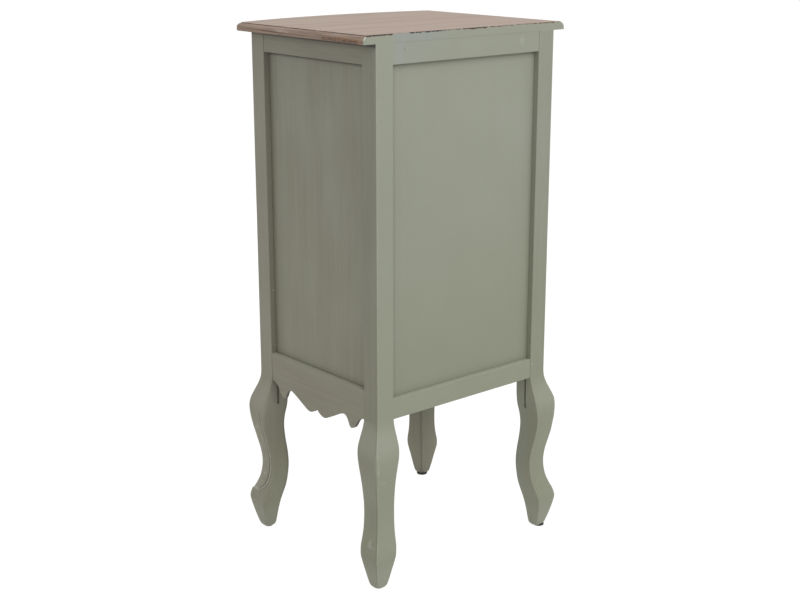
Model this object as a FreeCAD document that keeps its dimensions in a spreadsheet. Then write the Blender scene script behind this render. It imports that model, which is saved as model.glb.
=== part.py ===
import FreeCAD, Part

import os
from types import SimpleNamespace

# A tall bedside chest with three bowed drawers, framed and panelled, on four cabriole legs.
# Millimetres. The floor is z = 0, x runs across the front and the drawers open towards -y.
# The origin lies on the floor under the middle of the whole chest.

SIZES = {
    # Carcass
    "overall_height": 800.0,
    "body_width": 338.0,
    "body_depth": 286.0,
    "front_bow": 15.0,
    "post_side": 30.0,
    # Legs
    "leg_length": 254.0,
    "toe_reach": 16.5,
    "foot_round": 5.0,
    # Panels and the grooves that hold them
    "panel_thickness": 3.0,
    "panel_recess": 9.0,
    "panel_entry": 7.0,
    "panel_end_gap": 1.0,
    "fit_gap": 0.25,
    "side_groove_runout": 44.0,
    "back_groove_runout": 54.0,
    # Rails
    "rail_thickness": 18.0,
    "rail_setback": 0.4,
    "rail_round": 0.8,
    "top_rail_height": 29.0,
    "back_bottom_rail_height": 30.0,
    "front_top_rail_height": 22.0,
    "divider_height": 16.0,
    "tenon_thickness": 8.0,
    "tenon_length": 10.0,
    "tenon_shoulder": 3.5,
    "tenon_setback": 9.0,
    # Aprons
    "apron_rise": 42.0,
    "apron_end_drop": 2.0,
    "scallop_depth": 24.5,
    "skirt_thickness": 5.0,
    "skirt_relief_drop": 4.0,
    # Top board
    "top_thickness": 12.0,
    "top_side_overhang": 21.0,
    "top_front_overhang": 24.0,
    "top_corner_radius": 12.0,
    "moulding_round": 6.5,
    "moulding_ledge": 0.7,
    "moulding_step": 1.2,
    "moulding_foot_round": 1.2,
    # Cleats and screws under the top
    "cleat_side": 18.0,
    "screw_spread": 120.0,
    "screw_radius": 2.0,
    "screw_head_radius": 4.0,
    "screw_head_depth": 2.5,
    "screw_bite": 7.5,
    "screw_slack": 0.1,
    # Drawer runners and stops
    "runner_thickness": 12.0,
    "runner_ledge": 16.0,
    "guide_height": 14.0,
    "stop_depth": 10.0,
    "stop_height": 15.0,
    "stop_side_gap": 1.0,
    # Drawers
    "run_gap": 0.3,
    "front_gap": 1.5,
    "box_gap": 2.0,
    "front_edge": 18.0,
    "front_round": 1.2,
    "front_groove_inset": 16.0,
    "front_groove_width": 4.0,
    "front_groove_depth": 1.5,
    "side_thickness": 12.0,
    "side_headroom": 26.7,
    "side_housing": 6.0,
    "drawer_back_thickness": 10.0,
    "drawer_back_setin": 6.0,
    "bottom_thickness": 4.0,
    "bottom_rise": 8.0,
    "bottom_entry": 4.5,
    "bottom_end_gap": 0.5,
    # Knobs
    "knob_reach": 22.0,
    "knob_radius": 12.0,
    "knob_head_half": 7.0,
    "knob_neck_radius": 5.0,
    "knob_flange_radius": 8.5,
    "knob_flange_thickness": 2.5,
    "knob_screw_radius": 2.0,
    "knob_screw_bite": 11.0,
    "knob_screw_head_radius": 4.0,
    "knob_screw_head_thickness": 2.5,
    "knob_hole_slack": 0.4,
    "knob_thread_slack": 0.05,
    # Foot glides
    "glide_thickness": 3.0,
    "glide_radius": 8.0,
    "nail_radius": 1.0,
    "nail_length": 14.0,
    "nail_head_radius": 2.5,
    "nail_head_thickness": 1.0,
    # Run of a cutting tool past the piece it cuts
    "cut_overrun": 4.0,
}

# A leg from its post down to its foot: height as a share of the leg's length, then how far the
# outer and the inner faces swing outwards, as shares of the toe's reach.
LEG_SWING_SHARES = [
    (1.20, 0.00, 0.00),
    (1.08, 0.00, 0.002),
    (1.00, 0.03, 0.004),
    (0.95, 0.21, 0.006),
    (0.90, 0.50, 0.01),
    (0.85, 0.77, 0.03),
    (0.80, 0.89, 0.10),
    (0.74, 0.89, 0.25),
    (0.68, 0.77, 0.32),
    (0.60, 0.53, 0.27),
    (0.50, 0.24, 0.12),
    (0.42, 0.17, 0.07),
    (0.34, 0.32, 0.15),
    (0.28, 0.61, 0.27),
    (0.25, 0.81, 0.37),
    (0.20, 1.00, 0.56),
    (0.16, 0.94, 0.70),
    (0.09, 0.71, 0.88),
    (0.00, 0.40, 1.00),
]

# The chamfer worked down the outer corner of a front leg: height share, then the chamfer's width on
# each face as a share of the leg's side there. It ends in a lip on the foot.
LEG_CHAMFER_SHARES = [
    (0.74, 0.00),
    (0.68, 0.07),
    (0.60, 0.12),
    (0.50, 0.16),
    (0.42, 0.17),
    (0.34, 0.17),
    (0.28, 0.16),
    (0.25, 0.15),
]
FOOT_LIP_SHARE = LEG_CHAMFER_SHARES[-1][0]

# Lower edge of an apron from its end to its middle: distance from the middle as a share of half
# its length, then depth below its end as a share of the scallop's depth.
SCALLOP_SHARES = [
    (1.000, 0.00),
    (0.935, 0.02),
    (0.855, 0.36),
    (0.785, 0.78),
    (0.720, 0.86),
    (0.660, 0.46),
    (0.595, 0.19),
    (0.520, 0.25),
    (0.380, 0.56),
    (0.250, 0.86),
    (0.160, 1.00),
    (0.075, 0.90),
    (0.000, 0.63),
]

DRAWER_LEVELS = ("lower", "middle", "upper")


class Size:
    """A length that keeps both its number and the spreadsheet expression that gives it."""

    def __init__(self, text, number):
        self.text = text
        self.number = number

    def __add__(self, other):
        return Size(f"({self.text} + {text_of(other)})", self.number + number_of(other))

    def __sub__(self, other):
        return Size(f"({self.text} - {text_of(other)})", self.number - number_of(other))

    def __mul__(self, other):
        return Size(f"({self.text} * {text_of(other)})", self.number * number_of(other))

    def __truediv__(self, other):
        return Size(f"({self.text} / {text_of(other)})", self.number / number_of(other))

    def __neg__(self):
        return Size(f"(0 - {self.text})", -self.number)


def text_of(value):
    return value.text if isinstance(value, Size) else repr(value)


def number_of(value):
    return value.number if isinstance(value, Size) else value


# The document and its sheet of driving dimensions
doc = FreeCAD.newDocument("BedsideChest")
sheet = doc.addObject("Spreadsheet::Sheet", "Sizes")
for row, (alias, length) in enumerate(SIZES.items(), start=1):
    sheet.set(f"A{row}", alias)
    sheet.set(f"B{row}", str(length))
    sheet.setAlias(f"B{row}", alias)
doc.recompute()
d = SimpleNamespace(**{alias: Size(f"Sizes.{alias}", float(sheet.get(alias))) for alias in SIZES})
ZERO = Size("0", 0.0)
nodes = {}


def vector(x, y, z):
    return FreeCAD.Vector(number_of(x), number_of(y), number_of(z))


def bind(piece, sizes):
    for name, size in sizes.items():
        piece.setExpression(name, size.text)
    return piece


def place(piece, x, y, z):
    return bind(piece, {"Placement.Base.x": x, "Placement.Base.y": y, "Placement.Base.z": z})


def add(kind, label):
    piece = doc.addObject(kind, label)
    piece.Label = label
    return piece


def box(label, low, high):
    piece = add("Part::Box", label)
    span = [top - bottom for bottom, top in zip(low, high)]
    bind(piece, {"Length": span[0], "Width": span[1], "Height": span[2]})
    return place(piece, *low)


def upright(label, radius, centre, height):
    piece = add("Part::Cylinder", label)
    bind(piece, {"Radius": radius, "Height": height})
    return place(piece, *centre)


def rod_towards_back(label, radius, start, length):
    piece = add("Part::Cylinder", label)
    piece.Placement.Rotation = FreeCAD.Rotation(FreeCAD.Vector(1, 0, 0), -90)
    bind(piece, {"Radius": radius, "Height": length})
    return place(piece, *start)


def shaped(label, shape):
    piece = add("Part::Feature", label)
    piece.Shape = shape
    piece.Placement = FreeCAD.Placement()
    return piece


def fuse(label, pieces):
    piece = add("Part::MultiFuse", label)
    piece.Shapes = pieces
    piece.Refine = True
    return piece


def cut(label, base, tools):
    piece = add("Part::Cut", label)
    piece.Base = base
    piece.Tool = tools[0] if len(tools) == 1 else fuse(f"{label}_cutters", tools)
    piece.Refine = True
    return piece


def common(label, first, second):
    piece = add("Part::Common", label)
    piece.Base = first
    piece.Tool = second
    piece.Refine = True
    return piece


def group(label, pieces):
    piece = add("Part::Compound", label)
    piece.Links = pieces
    return piece


def rounded(label, base, rounds):
    """Round the edges that each test picks, with its own radius."""
    doc.recompute()
    piece = add("Part::Fillet", label)
    piece.Base = base
    picked = []
    for index, edge in enumerate(base.Shape.Edges, start=1):
        radius = next((size for size, test in rounds if test(edge)), None)
        if radius:
            picked.append((index, radius.number, radius.number))
    piece.Edges = picked
    return piece


def mirrored(label, source):
    piece = add("Part::Mirroring", label)
    piece.Source = source
    piece.Normal = FreeCAD.Vector(1, 0, 0)
    return piece


def keep(piece):
    nodes[piece.Label] = piece
    return piece


def keep_pair(piece):
    """Keep a piece of the right-hand side and its mirror image on the left."""
    keep(piece)
    keep(mirrored(piece.Label.replace("right", "left"), piece))


def near(value, size):
    return abs(value - size.number) < d.fit_gap.number


# Places that several pieces share
half_width = d.body_width / 2
inner_x = half_width - d.post_side
back_y = (d.top_front_overhang + d.front_bow + d.body_depth - d.toe_reach) / 2
front_y = back_y - d.body_depth
inner_front_y = front_y + d.post_side
inner_back_y = back_y - d.post_side
bow_y = front_y - d.front_bow
bow_radius = (inner_x * inner_x + d.front_bow * d.front_bow) / (d.front_bow * 2)
bow_centre_y = bow_y + bow_radius
leg_top = d.glide_thickness + d.leg_length
top_under = d.overall_height - d.top_thickness
panel_groove = d.panel_thickness + d.fit_gap * 2
groove_depth = d.panel_entry + d.panel_end_gap
groove_out_x = half_width - d.panel_recess
groove_in_x = groove_out_x - panel_groove
groove_out_y = back_y - d.panel_recess
groove_in_y = groove_out_y - panel_groove
rail_out_x = half_width - d.rail_setback
rail_in_x = rail_out_x - d.rail_thickness
rail_out_y = back_y - d.rail_setback
rail_in_y = rail_out_y - d.rail_thickness
top_rail_foot = top_under - d.top_rail_height
apron_top = leg_top + d.apron_rise
apron_end = leg_top - d.apron_end_drop
back_rail_top = leg_top + d.back_bottom_rail_height
opening_top = top_under - d.front_top_rail_height
drawer_count = len(DRAWER_LEVELS)
opening_height = (opening_top - apron_top - d.divider_height * (drawer_count - 1)) / drawer_count
level_pitch = opening_height + d.divider_height
opening_foot = {name: apron_top + level_pitch * row for row, name in enumerate(DRAWER_LEVELS)}
tenon_front_y = front_y + d.tenon_setback
tenon_back_y = tenon_front_y + d.tenon_thickness
tenon_end_x = inner_x + d.tenon_length


def bow_drum(label, outset, foot, head):
    """The drum that the front's bow is a slice of, moved outwards by outset."""
    return upright(label, bow_radius + outset, (ZERO, bow_centre_y, foot), head - foot)


# Posts with their cabriole legs
foot_reach = d.post_side + d.toe_reach * (LEG_SWING_SHARES[-1][1] + LEG_SWING_SHARES[-1][2])
foot_centre = foot_reach / 2
foot_x = inner_x + foot_centre
foot_ys = {"front": inner_front_y - foot_centre, "back": inner_back_y + foot_centre}
leg_span = d.post_side + d.toe_reach + d.cut_overrun * 2


def spline(points):
    curve = Part.BSplineCurve()
    curve.interpolate(points)
    return curve.toShape()


def closed_face(curves, chain):
    """A face bounded by some curves and by straight edges along a chain of points."""
    edges = [Part.LineSegment(a, b).toShape() for a, b in zip(chain, chain[1:])]
    return Part.Face(Part.Wire(Part.__sortEdges__(curves + edges)))


def leg_height(share):
    return d.glide_thickness + d.leg_length * share


def leg_profile(spot):
    """Post and leg seen square on: spot(distance out from the post's inner face, height)."""
    outer = [spot(d.post_side + d.toe_reach * out, leg_height(rise)) for rise, out, _ in LEG_SWING_SHARES]
    inner = [spot(d.toe_reach * back, leg_height(rise)) for rise, _, back in LEG_SWING_SHARES]
    post = [inner[0], spot(ZERO, top_under), spot(d.post_side, top_under), outer[0]]
    sole = Part.LineSegment(outer[-1], inner[-1]).toShape()
    return closed_face([spline(outer), spline(inner), sole], post)


def padded(label, face, direction, length):
    piece = add("Part::Extrusion", label)
    piece.Base = shaped(f"{label}_outline", face)
    piece.DirMode = "Custom"
    piece.Dir = direction
    piece.Solid = True
    return bind(piece, {"LengthFwd": length})


def leg_blank(end, inner_y, outward):
    """A square post running into a cabriole leg: two like profiles crossed at right angles."""
    start_x = inner_x - d.cut_overrun
    start_y = inner_y - d.cut_overrun * outward
    crossed = common(
        f"leg_{end}_crossed",
        padded(
            f"leg_{end}_seen_from_front",
            leg_profile(lambda out, z: vector(inner_x + out, start_y, z)),
            FreeCAD.Vector(0, outward, 0),
            leg_span,
        ),
        padded(
            f"leg_{end}_seen_from_side",
            leg_profile(lambda out, z: vector(start_x, inner_y + out * outward, z)),
            FreeCAD.Vector(1, 0, 0),
            leg_span,
        ),
    )

    def sole_edge(edge):
        return near(edge.BoundBox.ZMax, d.glide_thickness)

    return rounded(f"leg_{end}_footed", crossed, [(d.foot_round, sole_edge)])


def corner_chamfer():
    """The wedge taken off a front leg's outer corner, from its knee down to the lip of its foot."""
    diagonal = FreeCAD.Vector(1, -1, 0)
    inner_corner = vector(inner_x, inner_front_y, ZERO)

    def spot(out, rise):
        return inner_corner + diagonal * number_of(out) + vector(ZERO, ZERO, leg_height(rise))

    face_of = {rise: d.post_side + d.toe_reach * out for rise, out, _ in LEG_SWING_SHARES}
    side_of = {rise: face_of[rise] - d.toe_reach * back for rise, _, back in LEG_SWING_SHARES}
    curve = [
        spot(face_of[rise] - side_of[rise] * share / 2, rise) for rise, share in LEG_CHAMFER_SHARES
    ]
    beyond = d.post_side + d.toe_reach + d.cut_overrun
    chain = [curve[0], spot(beyond, LEG_CHAMFER_SHARES[0][0]), spot(beyond, FOOT_LIP_SHARE)]
    face = closed_face([spline(curve)], [*chain, curve[-1]])
    face.translate(FreeCAD.Vector(-1, -1, 0) * leg_span.number)
    return padded("leg_front_chamfer", face, FreeCAD.Vector(1, 1, 0), leg_span * 3)


def nail_hole(label, foot_y):
    start = (foot_x, foot_y, ZERO)
    return upright(label, d.nail_radius + d.screw_slack, start, d.nail_length + d.glide_thickness)


def tenon_mortise(label, foot, head):
    low = (inner_x - d.cut_overrun, tenon_front_y - d.fit_gap, foot + d.tenon_shoulder - d.fit_gap)
    high = (tenon_end_x + d.fit_gap, tenon_back_y + d.fit_gap, head - d.tenon_shoulder + d.fit_gap)
    return box(label, low, high)


front_rails = {
    "front_top_rail": (opening_top, top_under),
    "front_apron": (leg_top, apron_top),
    "divider_upper": (opening_foot["upper"] - d.divider_height, opening_foot["upper"]),
    "divider_lower": (opening_foot["middle"] - d.divider_height, opening_foot["middle"]),
}
front_cuts = [tenon_mortise(f"{name}_mortise", *levels) for name, levels in front_rails.items()]
front_cuts.append(nail_hole("leg_front_nail_hole", foot_ys["front"]))
front_cuts.append(
    box(
        "leg_front_side_groove",
        (groove_in_x, inner_front_y - groove_depth, leg_top - d.side_groove_runout),
        (groove_out_x, inner_front_y + d.cut_overrun, top_under + d.cut_overrun),
    )
)
front_cuts.append(corner_chamfer())
keep_pair(cut("leg_front_right", leg_blank("front", inner_front_y, -1), front_cuts))

back_cuts = [
    nail_hole("leg_back_nail_hole", foot_ys["back"]),
    box(
        "leg_back_side_groove",
        (groove_in_x, inner_back_y - d.cut_overrun, leg_top - d.side_groove_runout),
        (groove_out_x, inner_back_y + groove_depth, top_under + d.cut_overrun),
    ),
    box(
        "leg_back_back_groove",
        (inner_x - d.cut_overrun, groove_in_y, leg_top - d.back_groove_runout),
        (inner_x + groove_depth, groove_out_y, top_under + d.cut_overrun),
    ),
]
keep_pair(cut("leg_back_right", leg_blank("back", inner_back_y, 1), back_cuts))

# Foot glides, each held by one nail
glides = []
nails = []
for side, sign in (("right", 1), ("left", -1)):
    for end, foot_y in foot_ys.items():
        tag = f"{end}_{side}"
        centre = (foot_x * sign, foot_y, ZERO)
        disc = upright(f"glide_disc_{tag}", d.glide_radius, centre, d.glide_thickness)
        sink = upright(
            f"glide_sink_{tag}",
            d.nail_head_radius + d.screw_slack,
            centre,
            d.glide_thickness / 2 + d.nail_head_thickness,
        )
        shaft_hole = upright(
            f"glide_hole_{tag}", d.nail_radius + d.screw_slack, centre, d.glide_thickness + d.cut_overrun
        )
        glides.append(cut(f"glide_{tag}", disc, [sink, shaft_hole]))
        head_foot = (foot_x * sign, foot_y, d.glide_thickness / 2)
        head = upright(f"nail_head_{tag}", d.nail_head_radius, head_foot, d.nail_head_thickness)
        shaft = upright(f"nail_shaft_{tag}", d.nail_radius, head_foot, d.nail_length)
        nails.append(fuse(f"nail_{tag}", [head, shaft]))
keep(group("foot_glides", glides))
keep(group("glide_nails", nails))


# Side frames
def long_edge_at(axis, places):
    """A test for the long straight edges that lie at one of some places across the rail."""
    across, level = axis

    def test(edge):
        middle = edge.CenterOfMass
        straight = edge.Curve.TypeId == "Part::GeomLine" and edge.Length > d.rail_thickness.number
        return straight and any(near(middle[across], x) and near(middle[level], z) for x, z in places)

    return test


def side_tongue(label, foot, head):
    low = (groove_in_x + d.fit_gap, inner_front_y - d.panel_entry, foot)
    high = (groove_out_x - d.fit_gap, inner_back_y + d.panel_entry, head)
    return box(label, low, high)


side_rail = rounded(
    "side_top_rail_bar",
    box(
        "side_top_rail_box",
        (rail_in_x, inner_front_y, top_rail_foot),
        (rail_out_x, inner_back_y, top_under),
    ),
    [(d.rail_round, long_edge_at((0, 2), [(rail_out_x, top_rail_foot)]))],
)
keep_pair(
    cut(
        "side_top_rail_right",
        fuse(
            "side_top_rail_blank",
            [side_rail, side_tongue("side_rail_tongue", top_rail_foot, top_under)],
        ),
        [
            box(
                "side_top_rail_groove",
                (groove_in_x, inner_front_y - d.post_side, top_rail_foot - d.cut_overrun),
                (groove_out_x, inner_back_y + d.post_side, top_rail_foot + groove_depth),
            )
        ],
    )
)


def apron_board(half_length, spot, across):
    """A board with the scalloped lower edge, standing on spot(distance from middle, height)."""
    drop = d.scallop_depth.number
    end = apron_end.number
    half = [(half_length.number * share, end - drop * depth) for share, depth in SCALLOP_SHARES]
    curves = [spline([spot(along * sign, height) for along, height in half]) for sign in (1, -1)]
    corners = [(half_length.number, end), (half_length.number, apron_top.number)]
    corners += [(-along, height) for along, height in reversed(corners)]
    return closed_face(curves, [spot(along, height) for along, height in corners]).extrude(across)


side_half = (inner_back_y - inner_front_y) / 2
side_mid_y = (inner_back_y + inner_front_y) / 2
relief_top = apron_end - d.skirt_relief_drop
side_apron = shaped(
    "side_apron_board",
    apron_board(
        side_half,
        lambda along, height: vector(rail_in_x, side_mid_y.number + along, height),
        vector(d.rail_thickness, ZERO, ZERO),
    ),
)
side_apron_blank = fuse(
    "side_apron_blank",
    [side_apron, side_tongue("side_apron_tongue", leg_top, apron_top)],
)
keep_pair(
    cut(
        "side_apron_right",
        side_apron_blank,
        [
            box(
                "side_apron_groove",
                (groove_in_x, inner_front_y - d.post_side, apron_top - groove_depth),
                (groove_out_x, inner_back_y + d.post_side, apron_top + d.cut_overrun),
            ),
            box(
                "side_apron_relief",
                (rail_in_x - d.cut_overrun, inner_front_y, ZERO),
                (rail_out_x - d.skirt_thickness, inner_back_y, relief_top),
            ),
        ],
    )
)
keep_pair(
    box(
        "side_panel_right",
        (groove_in_x + d.fit_gap, inner_front_y - d.panel_entry, apron_top - d.panel_entry),
        (groove_out_x - d.fit_gap, inner_back_y + d.panel_entry, top_rail_foot + d.panel_entry),
    )
)


# Back frame
def back_rail(label, foot, head, groove_foot, groove_head, shown_edge):
    bar = rounded(
        f"{label}_bar",
        box(f"{label}_box", (-inner_x, rail_in_y, foot), (inner_x, rail_out_y, head)),
        [(d.rail_round, long_edge_at((1, 2), [(rail_out_y, shown_edge)]))],
    )
    tongue = box(
        f"{label}_tongue",
        (-inner_x - d.panel_entry, groove_in_y + d.fit_gap, foot),
        (inner_x + d.panel_entry, groove_out_y - d.fit_gap, head),
    )
    groove = box(
        f"{label}_groove",
        (-half_width, groove_in_y, groove_foot),
        (half_width, groove_out_y, groove_head),
    )
    return keep(cut(label, fuse(f"{label}_blank", [bar, tongue]), [groove]))


back_rail(
    "back_top_rail",
    top_rail_foot,
    top_under,
    top_rail_foot - d.cut_overrun,
    top_rail_foot + groove_depth,
    top_rail_foot,
)
back_rail(
    "back_bottom_rail",
    leg_top,
    back_rail_top,
    back_rail_top - groove_depth,
    back_rail_top + d.cut_overrun,
    back_rail_top,
)
keep(
    box(
        "back_panel",
        (-inner_x - d.panel_entry, groove_in_y + d.fit_gap, back_rail_top - d.panel_entry),
        (inner_x + d.panel_entry, groove_out_y - d.fit_gap, top_rail_foot + d.panel_entry),
    )
)


# Front frame: bowed rails tenoned into the posts
def tenon_bar(label, foot, head):
    low = (-tenon_end_x, tenon_front_y, foot + d.tenon_shoulder)
    return box(label, low, (tenon_end_x, tenon_back_y, head - d.tenon_shoulder))


for name in ("front_top_rail", "divider_upper", "divider_lower"):
    foot, head = front_rails[name]
    bar = common(
        f"{name}_bar",
        box(f"{name}_box", (-inner_x, bow_y, foot), (inner_x, inner_front_y, head)),
        bow_drum(f"{name}_drum", ZERO, foot - d.cut_overrun, head + d.cut_overrun),
    )
    keep(fuse(name, [bar, tenon_bar(f"{name}_tenons", foot, head)]))

front_board_back = front_y + d.rail_thickness
front_board = common(
    "front_apron_bowed",
    shaped(
        "front_apron_board",
        apron_board(
            inner_x,
            lambda along, height: vector(along, bow_y, height),
            vector(ZERO, front_board_back - bow_y, ZERO),
        ),
    ),
    bow_drum("front_apron_drum", ZERO, ZERO, apron_top + d.cut_overrun),
)
front_relief = common(
    "front_apron_relief",
    box(
        "front_apron_relief_box",
        (-inner_x, bow_y, ZERO),
        (inner_x, inner_front_y, relief_top),
    ),
    bow_drum("front_apron_relief_drum", -d.skirt_thickness, ZERO, apron_top),
)
front_skirt = cut("front_apron_skirt", front_board, [front_relief])
keep(fuse("front_apron", [front_skirt, tenon_bar("front_apron_tenons", *front_rails["front_apron"])]))

# Drawer runners: a ledge to carry the drawer's side and a guide beside it
for name, foot in opening_foot.items():
    ledge = box(
        f"runner_{name}_ledge",
        (inner_x - d.runner_ledge, inner_front_y, foot - d.runner_thickness),
        (rail_in_x, inner_back_y, foot),
    )
    guide = box(
        f"runner_{name}_guide",
        (inner_x, inner_front_y, foot),
        (rail_in_x, inner_back_y, foot + d.guide_height),
    )
    keep_pair(fuse(f"runner_{name}_right", [ledge, guide]))

stops = []
for name, foot in opening_foot.items():
    block = box(
        f"stop_{name}_right",
        (inner_x - d.runner_ledge + d.stop_side_gap, inner_back_y - d.stop_depth, foot),
        (inner_x - d.stop_side_gap, inner_back_y, foot + d.stop_height),
    )
    stops += [block, mirrored(f"stop_{name}_left", block)]
keep(group("drawer_stops", stops))


# Top board: a moulded slab with a thin raised field, bowed like the front and flush at the back
def top_slab(label, inset, foot, head):
    """A slab of the top's plan, drawn in by inset on its front and sides."""
    half = half_width + d.top_side_overhang - inset
    reach = d.top_front_overhang - inset
    plan = common(
        f"{label}_plan",
        box(f"{label}_box", (-half, bow_y - reach, foot), (half, back_y, head)),
        bow_drum(f"{label}_drum", reach, foot - d.cut_overrun, head + d.cut_overrun),
    )

    def front_corner(edge):
        first, last = edge.Vertexes[0].Point, edge.Vertexes[-1].Point
        level = abs(first.z - last.z) < d.fit_gap.number
        return not level and first.y < inner_front_y.number

    return rounded(label, plan, [(d.top_corner_radius - inset, front_corner)])


def shown_rim(level):
    """A test for the edges round the front and sides of the slab at one height."""

    def test(edge):
        box_of = edge.BoundBox
        flat = near(box_of.ZMin, level) and near(box_of.ZMax, level)
        return flat and not (near(box_of.YMin, back_y) and near(box_of.YMax, back_y))

    return test


field_foot = d.overall_height - d.moulding_step
moulded_slab = rounded(
    "top_moulded_slab",
    top_slab("top_slab", ZERO, top_under, field_foot),
    [(d.moulding_round, shown_rim(field_foot)), (d.moulding_foot_round, shown_rim(top_under))],
)
raised_field = top_slab(
    "top_raised_field",
    d.moulding_round + d.moulding_ledge,
    field_foot - d.moulding_step,
    d.overall_height,
)
screw_x = rail_in_x - d.cleat_side / 2
screw_ys = (side_mid_y - d.screw_spread / 2, side_mid_y + d.screw_spread / 2)
cleat_foot = top_under - d.cleat_side
screw_places = [(screw_x * sign, y) for sign in (1, -1) for y in screw_ys]
pilot_holes = [
    upright(
        f"top_pilot_{index}",
        d.screw_radius + d.screw_slack,
        (x, y, top_under - d.cut_overrun),
        d.screw_bite + d.cut_overrun + d.screw_slack,
    )
    for index, (x, y) in enumerate(screw_places)
]
keep(cut("top_board", fuse("top_blank", [moulded_slab, raised_field]), pilot_holes))


# Cleats that the top is screwed down to
def screw_head(label, x, y, slack):
    piece = add("Part::Cone", label)
    radii = {"Radius1": d.screw_head_radius + slack, "Radius2": d.screw_radius + slack}
    bind(piece, {**radii, "Height": d.screw_head_depth})
    return place(piece, x, y, cleat_foot)


cleat_holes = []
for index, y in enumerate(screw_ys):
    start = (screw_x, y, cleat_foot - d.cut_overrun)
    through = d.cleat_side + d.cut_overrun * 2
    cleat_holes.append(upright(f"cleat_hole_{index}", d.screw_radius + d.screw_slack, start, through))
    cleat_holes.append(screw_head(f"cleat_sink_{index}", screw_x, y, d.screw_slack))
cleat = box(
    "top_cleat_bar",
    (rail_in_x - d.cleat_side, inner_front_y, cleat_foot),
    (rail_in_x, inner_back_y, top_under),
)
keep_pair(cut("top_cleat_right", cleat, cleat_holes))

screws = []
for index, (x, y) in enumerate(screw_places):
    shank = upright(
        f"screw_shank_{index}", d.screw_radius, (x, y, cleat_foot), d.cleat_side + d.screw_bite
    )
    screws.append(fuse(f"screw_{index}", [shank, screw_head(f"screw_head_{index}", x, y, ZERO)]))
keep(group("top_screws", screws))


# Drawers
front_inner_y = front_y + d.front_edge
front_half = inner_x - d.front_gap
box_out_x = inner_x - d.box_gap
box_in_x = box_out_x - d.side_thickness
drawer_end_y = inner_back_y - d.stop_depth - d.run_gap
housing_y = front_inner_y - d.side_housing
side_height = opening_height - d.run_gap - d.side_headroom
bottom_edge_x = box_in_x + d.bottom_entry
bottom_groove_depth = d.bottom_entry + d.bottom_end_gap


def drawer_front(name, foot):
    label = f"drawer_{name}_front"
    low = foot + d.front_gap
    high = foot + opening_height - d.front_gap
    drums = (low - d.cut_overrun, high + d.cut_overrun)

    def shown_edge(edge):
        ends = [vertex.Point.y for vertex in edge.Vertexes]
        return max(ends) < (front_inner_y - d.side_housing).number

    bowed = common(
        f"{label}_bowed",
        box(f"{label}_box", (-front_half, bow_y, low), (front_half, front_inner_y, high)),
        bow_drum(f"{label}_drum", ZERO, *drums),
    )
    eased = rounded(f"{label}_eased", bowed, [(d.front_round, shown_edge)])
    outer = d.front_groove_inset
    inner = d.front_groove_inset + d.front_groove_width
    ring = cut(
        f"{label}_ring",
        box(
            f"{label}_ring_outer",
            (outer - front_half, bow_y - d.cut_overrun, low + outer),
            (front_half - outer, housing_y, high - outer),
        ),
        [
            box(
                f"{label}_ring_inner",
                (inner - front_half, bow_y - d.cut_overrun * 2, low + inner),
                (front_half - inner, front_inner_y, high - inner),
            ),
            bow_drum(f"{label}_ring_floor", -d.front_groove_depth, *drums),
        ],
    )
    housing_low = foot + d.run_gap - d.fit_gap
    housing_high = foot + d.run_gap + side_height + d.fit_gap
    housings = [
        box(
            f"{label}_housing_right",
            (box_in_x - d.fit_gap, housing_y - d.fit_gap, housing_low),
            (box_out_x + d.fit_gap, front_inner_y + d.cut_overrun, housing_high),
        )
    ]
    housings.append(mirrored(f"{label}_housing_left", housings[0]))
    bottom_low = foot + d.run_gap + d.bottom_rise
    slot = box(
        f"{label}_bottom_slot",
        (-bottom_edge_x - d.fit_gap, front_inner_y - bottom_groove_depth, bottom_low - d.fit_gap),
        (
            bottom_edge_x + d.fit_gap,
            front_inner_y + d.cut_overrun,
            bottom_low + d.bottom_thickness + d.fit_gap,
        ),
    )
    hole = rod_towards_back(
        f"{label}_knob_hole",
        d.knob_screw_radius + d.knob_hole_slack,
        (ZERO, bow_y - d.cut_overrun, foot + opening_height / 2),
        front_inner_y - bow_y + d.cut_overrun * 2,
    )
    keep(cut(label, eased, [ring, *housings, slot, hole]))


def drawer_box(name, foot):
    side_low = foot + d.run_gap
    side_high = side_low + side_height
    bottom_low = side_low + d.bottom_rise
    bottom_high = bottom_low + d.bottom_thickness
    side = box(
        f"drawer_{name}_side_board",
        (box_in_x, housing_y, side_low),
        (box_out_x, drawer_end_y, side_high),
    )
    groove = box(
        f"drawer_{name}_side_groove",
        (box_in_x - d.cut_overrun, housing_y - d.cut_overrun, bottom_low - d.fit_gap),
        (
            box_in_x + bottom_groove_depth,
            drawer_end_y + d.cut_overrun,
            bottom_high + d.fit_gap,
        ),
    )
    keep_pair(cut(f"drawer_{name}_side_right", side, [groove]))
    back_end = drawer_end_y - d.drawer_back_setin
    keep(
        box(
            f"drawer_{name}_back",
            (-box_in_x, back_end - d.drawer_back_thickness, bottom_high),
            (box_in_x, back_end, side_high),
        )
    )
    keep(
        box(
            f"drawer_{name}_bottom",
            (-bottom_edge_x, front_inner_y - d.bottom_entry, bottom_low),
            (bottom_edge_x, drawer_end_y, bottom_high),
        )
    )


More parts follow.
